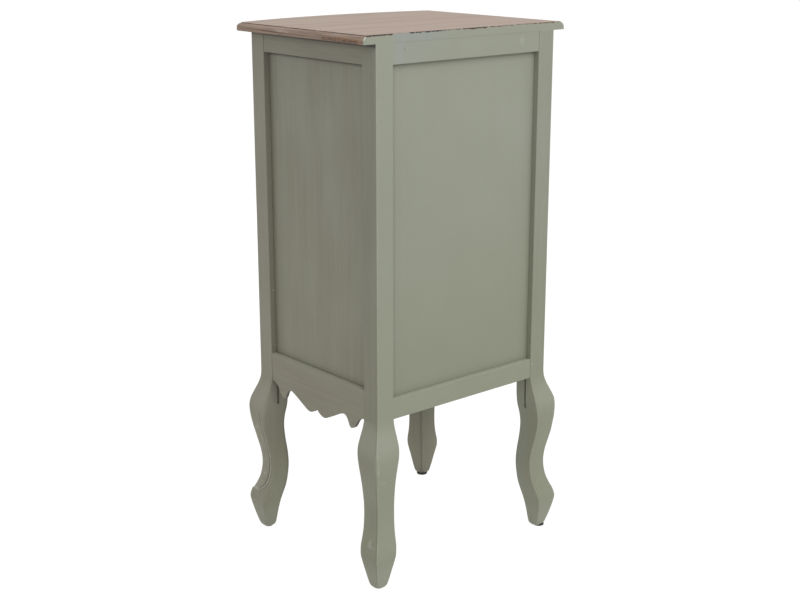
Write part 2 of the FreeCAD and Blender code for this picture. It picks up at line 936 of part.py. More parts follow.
def drawer_knob(name, foot):
    label = f"drawer_{name}_knob"
    middle = foot + opening_height / 2
    head_y = bow_y - d.knob_reach + d.knob_head_half
    flange = rod_towards_back(
        f"{label}_flange",
        d.knob_flange_radius,
        (ZERO, bow_y - d.knob_flange_thickness, middle),
        d.knob_flange_thickness,
    )
    neck = rod_towards_back(f"{label}_neck", d.knob_neck_radius, (ZERO, head_y, middle), bow_y - head_y)
    head = add("Part::Ellipsoid", f"{label}_head")
    head.Placement.Rotation = FreeCAD.Rotation(FreeCAD.Vector(1, 0, 0), -90)
    bind(head, {"Radius1": d.knob_head_half, "Radius2": d.knob_radius, "Radius3": d.knob_radius})
    place(head, ZERO, head_y, middle)
    bite_y = bow_y - d.knob_screw_bite
    thread = rod_towards_back(
        f"{label}_thread",
        d.knob_screw_radius + d.knob_thread_slack,
        (ZERO, bite_y - d.knob_hole_slack, middle),
        d.knob_screw_bite + d.cut_overrun,
    )
    keep(cut(label, fuse(f"{label}_blank", [flange, neck, head]), [thread]))
    shank = rod_towards_back(
        f"{label}_screw_shank", d.knob_screw_radius, (ZERO, bite_y, middle), front_inner_y - bite_y
    )
    pan = rod_towards_back(
        f"{label}_screw_pan",
        d.knob_screw_head_radius,
        (ZERO, front_inner_y, middle),
        d.knob_screw_head_thickness,
    )
    keep(fuse(f"{label}_screw", [shank, pan]))


for name, foot in opening_foot.items():
    drawer_front(name, foot)
    drawer_box(name, foot)
    drawer_knob(name, foot)

# Every object has to be sound before anything is written
doc.recompute()
faulty = [piece.Label for piece in doc.Objects if {"Invalid", "Error"} & set(piece.State)]
faulty += [label for label, piece in nodes.items() if piece.Shape.isNull() or not piece.Shape.isValid()]
if faulty:
    raise RuntimeError(f"these pieces failed to build: {sorted(set(faulty))}")

os.makedirs("parts", exist_ok=True)
for label, piece in nodes.items():
    piece.Shape.exportStep(f"parts/{label}.step")
print(f"{len(nodes)} pieces written")
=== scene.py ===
import math

import bmesh
import bpy
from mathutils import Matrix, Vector


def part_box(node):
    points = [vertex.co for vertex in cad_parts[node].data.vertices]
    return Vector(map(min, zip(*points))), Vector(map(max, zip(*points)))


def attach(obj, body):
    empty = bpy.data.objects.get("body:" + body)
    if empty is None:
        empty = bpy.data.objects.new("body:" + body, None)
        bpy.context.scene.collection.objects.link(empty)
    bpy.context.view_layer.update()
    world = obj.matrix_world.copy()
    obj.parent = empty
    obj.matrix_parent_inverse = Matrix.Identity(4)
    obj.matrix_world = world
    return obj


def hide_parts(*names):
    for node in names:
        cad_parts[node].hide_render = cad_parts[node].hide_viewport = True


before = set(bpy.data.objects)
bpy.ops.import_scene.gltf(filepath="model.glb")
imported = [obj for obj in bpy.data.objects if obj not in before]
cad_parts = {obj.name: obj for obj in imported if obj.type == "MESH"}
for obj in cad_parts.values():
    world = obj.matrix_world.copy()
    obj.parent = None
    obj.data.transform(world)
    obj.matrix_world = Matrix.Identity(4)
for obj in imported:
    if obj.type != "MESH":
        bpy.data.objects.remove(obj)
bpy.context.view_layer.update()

# Posts and cabriole legs. Each corner post and its leg are sawn from one hardwood blank and sanded. Slots for
# the panels run out below the rails. The front legs are carved: a bead follows the inner edge of each face,
# and the wood between the two beads is sunk and rounded over, down to a lip on the foot.
post_side = 0.030
post_top = 0.788
toe_reach = 0.0165
leg_foot, leg_length = 0.003, 0.254
sole, sole_round = 0.0010, 0.005
toe_round, toe_height = 0.0055, 0.03
arris, tight_joint, filled_joint = 0.0010, 0.00012, 0.00002
inner_x = 0.139
inner_ys = {"front": -0.10175, "back": 0.12425}
groove_near, groove_far, groove_depth = 0.0175, 0.021, 0.008
groove_run_out = 0.014
groove_feet = {"side": 0.213, "back": 0.203}
rail_joints = {
    "side": [(0.255, 0.299), (0.759, post_top)],
    "back": [(0.257, 0.287), (0.759, post_top)],
    "front": [(0.255, 0.299), (0.444, 0.460), (0.605, 0.621), (0.766, post_top)],
}

# Height along the leg, then how far its outer and inner faces swing out, as shares of the toe's reach.
leg_swings = [
    (0.00, 0.40, 1.00), (0.09, 0.71, 0.88), (0.16, 0.94, 0.70), (0.20, 1.00, 0.56), (0.25, 0.81, 0.37),
    (0.28, 0.61, 0.27), (0.34, 0.32, 0.15), (0.42, 0.17, 0.07), (0.50, 0.24, 0.12), (0.60, 0.53, 0.27),
    (0.68, 0.77, 0.32), (0.74, 0.89, 0.25), (0.80, 0.89, 0.10), (0.85, 0.77, 0.03), (0.90, 0.50, 0.01),
    (0.95, 0.21, 0.006), (1.00, 0.03, 0.004), (1.08, 0.00, 0.002), (1.20, 0.00, 0.00), (3.10, 0.00, 0.00),
]
# Height along a front leg, then how far its bead stands from the inner arris and how deep it is worked.
lip_share = 0.25
bead_line = [
    (0.25, 0.0165, 1.0), (0.265, 0.0112, 1.0), (0.29, 0.0064, 1.0), (0.34, 0.0030, 1.0), (0.42, 0.0018, 1.0),
    (0.55, 0.0018, 1.0), (0.64, 0.0022, 1.0), (0.70, 0.0036, 0.95), (0.75, 0.0064, 0.7), (0.79, 0.0092, 0.2),
    (0.81, 0.0100, 0.0), (0.83, 0.0100, 0.0),
]
# Height along a front leg, then the radius to which the arrises beside its carved faces are sanded.
softened = [(0.10, 0.0014), (0.25, 0.0014), (0.40, 0.0012), (0.62, 0.0012), (0.70, 0.0020), (0.76, 0.0048),
            (0.81, 0.0080), (0.86, 0.0080), (0.92, 0.0032), (0.96, 0.0012), (1.00, 0.0010), (3.10, 0.0010)]
# Across the bead: distance past its line, height off the face, and how the paint there is rubbed pale or
# pooled dark; the pale crown is also a painted highlight and the dark grooves painted shade.
bead_profile = [
    (0.0000, 0.0, 0.0), (0.0006, -0.0004, -0.8), (0.0013, -0.0004, -0.8), (0.0019, 0.0002, 0.9),
    (0.0034, 0.0007, 1.0), (0.0048, 0.0002, 0.9), (0.0054, -0.0010, -0.9), (0.0066, -0.0014, -1.0),
    (0.0080, -0.0012, -1.0), (0.0089, -0.0006, 0.6),
]
sunk, sunk_corner = 0.0006, 0.0034
lip_height, lip_pool_and_shade = 0.0012, 0.06
# The back legs aren't carved: the outer corner of the knee is chamfered.
knee_share, knee_span, knee_chamfer = 0.74, 0.11, 0.0042
# Glaze in a leg's inner corner, which fades out below the post, and how far it reaches over the two faces.
seam_glaze = {"front": 0.75, "back": 0.45}
seam_fade, seam_width = 0.06, 0.004
# The least distance that is kept between two points of an outline.
hair = 0.0002


def smooth_between(rows, place):
    """Values at one place on a smooth curve through the rows of a table."""
    at = max(0, min(len(rows) - 2, sum(place >= row[0] for row in rows) - 1))
    low, high = rows[at], rows[at + 1]
    before, after = rows[max(at - 1, 0)], rows[min(at + 2, len(rows) - 1)]
    span = high[0] - low[0]
    u = min(1.0, max(0.0, (place - low[0]) / span))
    values = []
    for k in range(1, len(low)):
        leave = span * (high[k] - before[k]) / (high[0] - before[0])
        arrive = span * (after[k] - low[k]) / (after[0] - low[0])
        rise = u * u * (3 - 2 * u)
        values.append(low[k] + (high[k] - low[k]) * rise
                      + leave * u * (1 - u) ** 2 - arrive * u * u * (1 - u))
    return values


def eased_corner(x, y, radius, start, first_rub, last_rub, steps=3):
    """Points round a corner, each with how much its paint is rubbed."""
    points = []
    for step in range(steps + 1):
        turn = math.radians(start + 90 * step / steps)
        rub = first_rub + (last_rub - first_rub) * step / steps
        points.append((x + radius * math.cos(turn), y + radius * math.sin(turn), rub))
    return points


def groove_at(height, foot):
    """Depth of a panel groove, which rises to the surface like a saw leaving its cut."""
    entry = min(1.0, max(0.0, (height - foot) / groove_run_out))
    return groove_depth * math.sqrt(1 - (1 - entry) ** 2)


def joint_ease(height, ease, face):
    """Arris of a post, which is left sharp where a rail meets it and the joint was painted or filled over."""
    if any(low <= height <= high for low, high in rail_joints[face]):
        return filled_joint if face == "back" else tight_joint
    return ease


def carved_corner(low, high, rise, ease):
    """The outer corner of a front leg, from its bead on one face round to its bead on the other."""
    line, worked = smooth_between(bead_line, rise)
    worked = worked if rise >= lip_share else 0.0
    # The lip's edge is painted pale, a painted highlight where it catches the light.
    on_lip = abs(rise - lip_share) * leg_length < lip_height
    drop, radius = worked * sunk, ease + worked * (sunk_corner - ease)
    room = min(1.0, 0.96 * (high - low - ease - drop - radius) / (line + bead_profile[-1][0] - ease))
    pool_and_shade = min(1.0, max(0.3, (rise - lip_share) / lip_pool_and_shade))
    half = [(high + worked * proud, low + ease + room * (line + past - ease),
             1.0 if on_lip and past > 0.004 else worked * rub * (pool_and_shade if rub < 0 else 1))
            for past, proud, rub in bead_profile]
    turns = [math.radians(turn) for turn in (0, 22.5, 45, 67.5, 90)]
    middle = high - drop - radius
    rub = 0.9 if on_lip else 0.4 * worked + 0.3
    round_over = [(middle + radius * math.cos(a), middle + radius * math.sin(a), rub) for a in turns]
    return half + round_over + [(y, x, rub) for x, y, rub in reversed(half)]


def leg_section(height, end):
    """Outline of a leg at one height, measured outwards from the inner corner of its post."""
    rise = (height - leg_foot) / leg_length
    outer, inner = smooth_between(leg_swings, max(0.0, rise))
    short = max(0.0, sole_round - (height - sole))
    drawn_in = sole_round - math.sqrt(sole_round ** 2 - short ** 2)
    low = toe_reach * inner + drawn_in
    high = post_side + toe_reach * outer - drawn_in
    ease = min(arris + toe_round * max(0.0, 1 - (height - sole) / toe_height) ** 2, 0.42 * (high - low))
    near = min(max(groove_near, low + ease), high - ease - 2 * hair)
    far = min(max(groove_far, near + hair), high - ease - hair)
    floor_of = {face: max(low, groove_at(height, foot)) for face, foot in groove_feet.items()}
    # A panel slot's floor is painted dark, as painted shade in the recess.
    dark = {face: -1 if floor > low + 2 * hair else 0 for face, floor in floor_of.items()}
    below = min(1.0, max(0.0, (1.0 - rise) / seam_fade))
    seam = 0.2 - below * seam_glaze[end]
    beside_seam = low + ease + min(seam_width, 0.5 * (near - low - ease))
    worn = 0.25 + 0.15 * outer
    # On a back post the arrises of the side face are painted darker, as painted shade on the side away from
    # the light.
    side_wear_and_shade = worn if end == "front" else worn - 0.6 * (1 - below)
    ring = eased_corner(low + ease, low + ease, ease, 180, seam, seam)
    ring += [(beside_seam, low, 0.35 * seam), (near, low, 0), (near, floor_of["side"], dark["side"]),
             (far, floor_of["side"], dark["side"]), (far, low, 0)]
    soft = max(ease, smooth_between(softened, rise)[0]) if end == "front" else ease
    side_ease, end_ease = joint_ease(height, soft, "side"), joint_ease(height, soft, end)
    ring += eased_corner(high - side_ease, low + side_ease, side_ease, 270, worn, side_wear_and_shade, 6)
    if end == "front":
        ring += carved_corner(low, high, rise, ease)
    else:
        # On a back leg and post the outer arris is painted dark on the half that turns to the side, as
        # painted shade, and pale on the half that turns to the back, as wear and painted highlight; the
        # knee's chamfer is paler still.
        knee = max(0.0, 1 - ((rise - knee_share) / knee_span) ** 2)
        round_over = ease + knee_chamfer * knee
        flat = high - round_over
        first_rub = side_wear_and_shade - (0.8 + 0.15 * outer) * below + 0.9 * knee
        ring += [(high, flat - 0.12 * (high - low), side_wear_and_shade - 0.3 * below)]
        ring += eased_corner(flat, flat, round_over, 0, first_rub, 0.75)
        ring += [(flat - 8 * hair, high, worn)]
    ring += eased_corner(low + end_ease, high - end_ease, end_ease, 90, worn, worn, 6)
    if end == "back":
        ring += [(low, far, 0), (floor_of["back"], far, dark["back"]),
                 (floor_of["back"], near, dark["back"]), (low, near, 0)]
    return ring + [(low, beside_seam, 0.35 * seam)]


def skinned(shape, rings):
    """Carry one face through rings of points, which leaves a closed skin, and give back each ring's verts."""
    face = shape.faces.new([shape.verts.new(point) for point in rings[0]])
    placed = [list(face.verts)]
    for ring in rings[1:]:
        grown = bmesh.ops.extrude_face_region(shape, geom=[face])
        if len(placed) > 1:
            bmesh.ops.delete(shape, geom=[face], context="FACES_ONLY")
        face = next(item for item in grown["geom"] if isinstance(item, bmesh.types.BMFace))
        for vert, point in zip(face.verts, ring):
            vert.co = point
        placed.append(list(face.verts))
    return placed


def linear(code):
    """Linear colour of an sRGB hex code."""
    parts = [int(code[i:i + 2], 16) / 255 for i in (1, 3, 5)]
    return (*[p / 12.92 if p <= 0.04045 else ((p + 0.055) / 1.055) ** 2.4 for p in parts], 1.0)


def add_node(tree, kind, settings=None, **links):
    """A shader node with its settings, its inputs set or linked; in_7 stands for the input numbered 7."""
    node = tree.nodes.new("ShaderNode" + kind)
    for name, value in (settings or {}).items():
        setattr(node, name, value)
    for name, value in links.items():
        socket = node.inputs[int(name[3:]) if name.startswith("in_") else name.replace("_", " ")]
        if isinstance(value, bpy.types.NodeSocket):
            tree.links.new(value, socket)
        else:
            socket.default_value = value
    return node


colour_mix = {"data_type": "RGBA"}
smooth_step = {"interpolation_type": "SMOOTHSTEP"}
plus, minus = {"operation": "ADD"}, {"operation": "SUBTRACT"}
times, unsigned = {"operation": "MULTIPLY"}, {"operation": "ABSOLUTE"}
less_than, more_than = {"operation": "LESS_THAN"}, {"operation": "GREATER_THAN"}
larger = {"operation": "MAXIMUM"}


def new_finish(name):
    """A material with nodes, its node tree and its shader."""
    material = bpy.data.materials.new(name)
    material.use_nodes = True
    return material, material.node_tree, material.node_tree.nodes["Principled BSDF"]


def surface(tree):
    """The place of a point on its piece in metres, and the way it faces, each as X, Y and Z."""
    vectors = (add_node(tree, "TexCoord").outputs["Object"],
               add_node(tree, "NewGeometry").outputs["Normal"])
    return [add_node(tree, "SeparateXYZ", Vector=vector).outputs for vector in vectors]


def streaked(tree, place, run, length, width, **noise):
    """A pattern of marks of a real length along one axis and a real width across it, in metres."""
    scale = [1 / length if axis == run else 1 / width for axis in "XYZ"]
    drawn_out = add_node(tree, "Mapping", Vector=place, Scale=scale)
    return add_node(tree, "TexNoise", Vector=drawn_out.outputs[0], Scale=1.0, **noise).outputs[0]


def cover(material, amount, colour):
    """Lay a colour, a hex code or a node's, over a coat by an amount that differs over the piece."""
    tree = material.node_tree
    base = tree.nodes["Principled BSDF"].inputs["Base Color"]
    before = base.links[0].from_socket
    colour = linear(colour) if isinstance(colour, str) else colour
    coat = add_node(tree, "Mix", colour_mix, in_0=amount, in_6=before, in_7=colour)
    tree.links.new(coat.outputs[2], base)


def fade_in(material, value, clear, full, most, colour):
    """Lay a colour over a coat, from none of it where a value is clear to the most of it where it is full."""
    amount = add_node(material.node_tree, "MapRange", smooth_step, Value=value, From_Min=clear,
                      From_Max=full, To_Max=most)
    cover(material, amount.outputs[0], colour)


def sage_paint(name, run, glaze, behind=0.12):
    """Satin sage-green paint on wood, brushed along the grain and wiped with a thin brown glaze. It gives
    soft streaks on the sides and front and hardly any on the back, which was sprayed. Bristle marks under
    1 mm would not show, so the streaks are drawn 4 mm wide. Worn arrises show the cream ground coat."""
    material, tree, shader = new_finish(name)
    place = add_node(tree, "TexCoord").outputs["Object"]
    at, facing = surface(tree)
    brushed = add_node(tree, "MapRange", smooth_step, Value=facing["Y"],
                       From_Min=0.3, From_Max=0.8, To_Min=1.0, To_Max=behind).outputs[0]
    streaks = streaked(tree, place, run, 0.20, 0.0042, Detail=5.0, Roughness=0.6, Distortion=0.3)
    wash = streaked(tree, place, run, 0.26, 0.032, Detail=3.0)
    cloud = add_node(tree, "TexNoise", Vector=place, Scale=1 / 0.09, Detail=3.0).outputs[0]

    coat = add_node(tree, "Mix", colour_mix, in_0=cloud, in_6=linear("#9a9e90"), in_7=linear("#969a88"))
    tree.links.new(coat.outputs[2], shader.inputs["Base Color"])
    # Painted shade: the coat is made darker and greener lower down.
    fade_in(material, at["Z"], 0.72, 0.15, 0.6, "#90947c")
    ridge = add_node(tree, "MapRange", smooth_step, Value=streaks, From_Min=0.46, From_Max=0.26,
                     To_Max=0.20)
    ridge = add_node(tree, "Math", times, in_0=ridge.outputs[0], in_1=brushed)
    cover(material, ridge.outputs[0], "#a9aa9d")
    film = add_node(tree, "MapRange", Value=wash, From_Min=0.34, From_Max=0.66,
                    To_Min=0.25 * glaze, To_Max=0.42 * glaze)
    film = add_node(tree, "Math", times, in_0=film.outputs[0], in_1=brushed)
    cover(material, film.outputs[0], "#8b7867")
    depth = add_node(tree, "MapRange", Value=wash, From_Min=0.32, From_Max=0.68,
                     To_Min=0.10, To_Max=0.10 + 0.34 * glaze)
    fill = add_node(tree, "MapRange", smooth_step, Value=streaks, From_Min=0.38, From_Max=0.70,
                    To_Min=0.25, To_Max=1.0)
    wiped = add_node(tree, "Math", times, in_0=fill.outputs[0], in_1=depth.outputs[0])
    wiped = add_node(tree, "Math", times, in_0=wiped.outputs[0], in_1=brushed)
    cover(material, wiped.outputs[0], "#7c7969")

    worn = add_node(tree, "Attribute", {"attribute_name": "rubbed"}).outputs["Fac"]
    patchy = add_node(tree, "TexNoise", Vector=place, Scale=1 / 0.011, Detail=5.0, Roughness=0.6)
    through = add_node(tree, "Math", times, in_0=worn, in_1=patchy.outputs[0])
    # The paint is rubbed through in patches and thinned over the rest of an arris; on beads, lips and
    # chamfers that pale paint is also a painted highlight. It is dark where glaze pooled, which in grooves
    # and slots is also painted shade.
    fade_in(material, through.outputs[0], 0.24, 0.60, 0.85, "#b7b3a4")
    fade_in(material, worn, 0.45, 1.0, 0.3, "#b3b1a4")
    fade_in(material, worn, -0.1, -1.0, 0.75, "#4d483c")
    sheen = add_node(tree, "MapRange", Value=cloud, From_Min=0.3, From_Max=0.7, To_Min=0.46, To_Max=0.58)
    relief = add_node(tree, "Math", times, in_0=streaks, in_1=brushed)
    bump = add_node(tree, "Bump", Strength=0.35, Distance=0.0004, Height=relief.outputs[0])
    tree.links.new(sheen.outputs[0], shader.inputs["Roughness"])
    tree.links.new(bump.outputs[0], shader.inputs["Normal"])
    return material


def small_marks(material, marks):
    """Chips, smudges and glue lines in a coat: each one's centre, reach on each axis, colour and strength."""
    tree = material.node_tree
    place = add_node(tree, "TexCoord").outputs["Object"]
    for centre, reach, tint, strength in marks:
        off = add_node(tree, "Mapping", Vector=place, Scale=[1 / r for r in reach],
                       Location=[-c / r for c, r in zip(centre, reach)])
        gap = add_node(tree, "VectorMath", {"operation": "LENGTH"}, in_0=off.outputs[0])
        fade_in(material, gap.outputs["Value"], 1.0, 0.3, strength, tint)


def painted_shadow_under_top(material):
    """Painted shadow under the top's overhang on the front and sides: a thin dark line that fades downwards.
    """
    tree = material.node_tree
    at, facing = surface(tree)
    sheltered = add_node(tree, "Math", less_than, in_0=facing["Y"], in_1=0.5)
    line = add_node(tree, "MapRange", smooth_step, Value=at["Z"], From_Min=post_top - 0.0075,
                    From_Max=post_top - 0.0030, To_Max=0.95)
    fade = add_node(tree, "MapRange", smooth_step, Value=at["Z"], From_Min=post_top - 0.014,
                    From_Max=post_top - 0.001, To_Max=0.45)
    painted_shadow = add_node(tree, "Math", larger, in_0=line.outputs[0], in_1=fade.outputs[0])
    painted_shadow = add_node(tree, "Math", times, in_0=painted_shadow.outputs[0], in_1=sheltered.outputs[0])
    cover(material, painted_shadow.outputs[0], "#3d3b33")


# The height by which the aprons cover a front leg's two inner faces.
hidden_top = 0.262


def behind_apron(material, hand_sign, deepest):
    """Painted shade on a front leg's two hidden faces, deeper towards the apron."""
    tree = material.node_tree
    at, facing = surface(tree)
    inwards = add_node(tree, "Math", times, in_0=facing["X"], in_1=-hand_sign)
    hidden = add_node(tree, "Math", larger, in_0=inwards.outputs[0], in_1=facing["Y"])
    hidden = add_node(tree, "MapRange", smooth_step, Value=hidden.outputs[0], From_Min=0.3, From_Max=0.95)
    upwards = add_node(tree, "MapRange", smooth_step, Value=at["Z"], From_Min=0.05, From_Max=0.25,
                       To_Min=0.14 * deepest, To_Max=deepest)
    below = add_node(tree, "Math", less_than, in_0=at["Z"], in_1=hidden_top)
    hidden_shade_amount = add_node(tree, "Math", times, in_0=hidden.outputs[0], in_1=upwards.outputs[0])
    hidden_shade_amount = add_node(tree, "Math", times, in_0=hidden_shade_amount.outputs[0], in_1=below.outputs[0])
    cover(material, hidden_shade_amount.outputs[0], "#4c4b40")


def finished(shape, name, body, materials, nodes=()):
    """Close a shape, turn its faces outwards and give it its body and the nodes it stands for."""
    bmesh.ops.remove_doubles(shape, verts=shape.verts, dist=2e-6)
    bmesh.ops.recalc_face_normals(shape, faces=shape.faces)
    mesh = bpy.data.meshes.new(name)
    shape.to_mesh(mesh)
    shape.free()
    for material in materials:
        mesh.materials.append(material)
    mesh.shade_smooth()
    mesh.set_sharp_from_angle(angle=math.radians(38))
    piece = bpy.data.objects.new(name, mesh)
    bpy.context.scene.collection.objects.link(piece)
    piece.modifiers.new("even shading", "WEIGHTED_NORMAL").keep_sharp = True
    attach(piece, body)
    if nodes:
        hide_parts(*nodes)
    return piece


# How much glaze each leg was left with, and the share of it that stayed on the face turned to the wall. The
# front left leg's heavier share is also painted shade, as it stands in the carcass's shadow.
leg_glaze_and_shade = {"front_right": (0.50, 0.8), "front_left": (0.75, 0.8),
             "back_right": (0.55, 0.12), "back_left": (0.28, 1.0)}
# How much painted shade each front leg has, at most, on the two faces turned inwards.
hidden_face_shade = {"right": 0.28, "left": 0.64}
# Painted shade browning the inner faces of one front leg; a warmer glaze, a pale toe and glue beside a panel
# on the other; a scuff and a glue line on one back leg; on the other, painted shade down its back face,
# cooler paint and a filled nail hole.
pale_paint, glue = "#b4b6ab", "#bcc0b3"
leg_marks = {"front_left": [((-0.1450, -0.1080, 0.1100), (0.045, 0.045, 0.200), "#4f4a34", 0.12)],
             "front_right": [((0.1700, -0.1170, 0.5200), (0.060, 0.060, 0.600), "#9c8b80", 0.20),
                             ((0.1650, -0.1300, 0.0160), (0.060, 0.060, 0.036), pale_paint, 0.14),
                             ((0.1628, -0.1018, 0.3990), (0.0013, 0.0020, 0.0017), glue, 0.75),
                             ((0.1612, -0.1018, 0.3112), (0.0012, 0.0020, 0.0015), glue, 0.65)],
             "back_right": [((0.179, 0.148, 0.0735), (0.020, 0.0050, 0.0085), pale_paint, 0.40),
                            ((0.179, 0.152, 0.0690), (0.020, 0.0070, 0.0030), pale_paint, 0.35),
                            ((0.168, 0.160, 0.1700), (0.010, 0.020, 0.0014), pale_paint, 0.40)],
             "back_left": [((-0.1540, 0.1555, 0.5300), (0.040, 0.020, 0.450), "#7d8174", 0.17),
                           ((-0.1420, 0.1300, 0.1500), (0.020, 0.024, 0.180), "#939b90", 0.45),
                           ((-0.1425, 0.154, 0.2785), (0.0016, 0.003, 0.0032), "#b9bdb0", 0.55)]}
lip = leg_foot + leg_length * lip_share
leg_heights = {sole + sole_round * (1 - math.cos(math.radians(a))) for a in (0, 20, 40, 60, 90)}
leg_heights |= {sole + sole_round + 0.0036 * step for step in range(1, 85)}
leg_heights |= {lip, lip - 0.0009, post_top}
leg_heights |= {foot + groove_run_out * share
                for foot in groove_feet.values() for share in (0.0, 0.06, 0.2, 0.45, 1.0)}
for joints in rail_joints.values():
    leg_heights |= {level + step for joint in joints for level, step in zip(joint, (-0.0004, 0.0004))}
    leg_heights |= {level for joint in joints for level in joint}
leg_heights = sorted(height for height in leg_heights if height <= post_top)
for end, inner_y in inner_ys.items():
    for hand, sign in (("left", -1), ("right", 1)):
        leg = bmesh.new()
        rubbed = leg.verts.layers.float.new("rubbed")
        out = -1 if end == "front" else 1
        sections = [leg_section(height, end) for height in leg_heights]
        rings = [[(sign * (inner_x + dx), inner_y + out * dy, height) for dx, dy, rub in section]
                 for height, section in zip(leg_heights, sections)]
        for verts, section in zip(skinned(leg, rings), sections):
            for vert, (dx, dy, rub) in zip(verts, section):
                vert[rubbed] = rub
        paint = sage_paint(f"sage paint on the {end} {hand} leg", "Z", *leg_glaze_and_shade[f"{end}_{hand}"])
        painted_shadow_under_top(paint)
        # Hands and brooms have rubbed the paint paler over the knee and the foot; these pale patches are also
        # painted highlights where the bulges turn up to the light.
        for height, strength in ((0.226, 0.19), (0.018, 0.19 if end == "back" else 0.04)):
            centre = (sign * 0.165, inner_y + out * 0.025, height)
            small_marks(paint, [(centre, (0.06, 0.06, 0.032), pale_paint, strength)])
        if end == "front":
            behind_apron(paint, sign, hidden_face_shade[hand])
            # Painted shade in the reveal between the post and the side panel.
            small_marks(paint, [((sign * 0.1640, inner_y, 0.5500), (0.016, 0.002, 0.600), "#3f4238", 0.30)])
        small_marks(paint, leg_marks[f"{end}_{hand}"])
        finished(leg, f"leg_{end}_{hand}_eased", "carcass", [paint], [f"leg_{end}_{hand}"])

# Foot glides: a disc of black moulded polythene under each foot, fixed by one zinc-plated nail. They were
# nailed on by eye, so hardly any of them sits in the middle.
glide_thickness = 0.003
foot_x, front_foot_y, back_foot_y = 0.16555, -0.1283, 0.1508
# Where each disc was nailed, and the radius that it is worn down to.
glide_places = [(-foot_x + 0.0024, front_foot_y + 0.0024, 0.0090),
                (foot_x - 0.0005, front_foot_y + 0.0005, 0.0062),
                (-foot_x - 0.0032, back_foot_y + 0.0022, 0.0086),
                (foot_x - 0.0005, back_foot_y - 0.0005, 0.0062)]
# Scuffed polythene: near black, paler where the floor has rubbed it.
glide_plastic, tree, shader = new_finish("black moulded polythene")
place = add_node(tree, "TexCoord").outputs["Object"]
grit = add_node(tree, "TexNoise", Vector=place, Scale=1 / 0.0015, Detail=3.0)
scuffed = add_node(tree, "Mix", colour_mix, in_0=grit.outputs[0],
                   in_6=linear("#1d1c1a"), in_7=linear("#2c2b28"))
tree.links.new(scuffed.outputs[2], shader.inputs["Base Color"])
shader.inputs["Roughness"].default_value = 0.55
glides = bmesh.new()
for x, y, radius in glide_places:
    disc = bmesh.ops.create_cone(glides, cap_ends=True, segments=40, radius1=radius, radius2=radius,
                                 depth=glide_thickness)
    bmesh.ops.translate(glides, verts=disc["verts"], vec=(x, y, glide_thickness / 2))
rims = [edge for edge in glides.edges if abs(edge.verts[0].co.z - edge.verts[1].co.z) < 1e-6]
bmesh.ops.bevel(glides, geom=rims, offset=0.0007, offset_type="OFFSET", affect="EDGES", segments=3,
                profile=0.5, material=-1)
finished(glides, "foot_glides_worn", "carcass", [glide_plastic], ["foot_glides"])


def dress(material, *nodes):
    """Give a finish to pieces that keep their solid's own shape."""
    for node in nodes:
        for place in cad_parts[node].material_slots:
            place.material = material


# Zinc plate: pale grey and softly spangled.
zinc, tree, shader = new_finish("zinc-plated steel")
place = add_node(tree, "TexCoord").outputs["Object"]
spangle = add_node(tree, "TexNoise", Vector=place, Scale=1 / 0.002, Detail=3.0)
plate = add_node(tree, "Mix", colour_mix, in_0=spangle.outputs[0],
                 in_6=linear("#9c9a92"), in_7=linear("#bdbab0"))
dull = add_node(tree, "MapRange", Value=spangle.outputs[0], To_Min=0.28, To_Max=0.5)
tree.links.new(plate.outputs[2], shader.inputs["Base Color"])
tree.links.new(dull.outputs[0], shader.inputs["Roughness"])
shader.inputs["Metallic"].default_value = 1.0
dress(zinc, "glide_nails")

# Side frames: a top rail and a scalloped apron, tongued into the posts, hold a thin panel between them.
# They are painted like the posts, with the brush drawn along each board, and their edges are sanded round.
edge_ease = 0.0007
shoulder_gap = 0.0005


def eased(node, material, run, body="carcass"):
    """A board with its long edges rounded over by a sanding block. Its shoulders stay sharp."""
    board = bmesh.new()
    board.from_mesh(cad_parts[node].data)
    bmesh.ops.remove_doubles(board, verts=board.verts, dist=1e-5)
    bmesh.ops.dissolve_limit(board, angle_limit=math.radians(0.2), verts=board.verts, edges=board.edges)
    rubbed = board.verts.layers.float.new("rubbed")
    axis = "XYZ".index(run)
    shoulders = {"X": (-inner_x, inner_x), "Y": (inner_ys["front"], inner_ys["back"])}[run]
    if body != "carcass":
        shoulders = (-1, 1)
    edges = []
    for edge in board.edges:
        middle = (edge.verts[0].co + edge.verts[1].co) / 2
        between = shoulders[0] + shoulder_gap < middle[axis] < shoulders[1] - shoulder_gap
        sharp = edge.is_manifold and edge.calc_face_angle() > math.radians(40)
        if sharp and between and middle.z < post_top - 0.001:
            edges.append(edge)
    worked = bmesh.ops.bevel(board, geom=edges, offset=edge_ease, offset_type="OFFSET", affect="EDGES",
                             segments=2, profile=0.5, clamp_overlap=True, material=-1)
    rounded = set(worked["faces"])
    for vert in worked["verts"]:
        vert[rubbed] = 1.0 if all(face in rounded for face in vert.link_faces) else 0.3
    return finished(board, f"{node}_eased", body, [material], [node])


def bare_inside(material, faces_in, pale, dark):
    """Leave the face that is turned inwards as bare sanded wood; faces_in picks that face."""
    tree = material.node_tree
    place = add_node(tree, "TexCoord").outputs["Object"]
    at, facing = surface(tree)
    if faces_in == "either side":
        turned = add_node(tree, "Math", times, in_0=at["X"], in_1=facing["X"])
        inside = add_node(tree, "Math", less_than, in_0=turned.outputs[0], in_1=-0.05)
    else:
        turned = add_node(tree, "Math", times, in_0=facing["Y"], in_1=faces_in)
        inside = add_node(tree, "Math", more_than, in_0=turned.outputs[0], in_1=0.5)
    figure = streaked(tree, place, "Z", 0.30, 0.012, Detail=4.0, Distortion=0.8)
    veneer = add_node(tree, "Mix", colour_mix, in_0=figure, in_6=linear(pale), in_7=linear(dark))
    cover(material, inside.outputs[0], veneer.outputs[2])


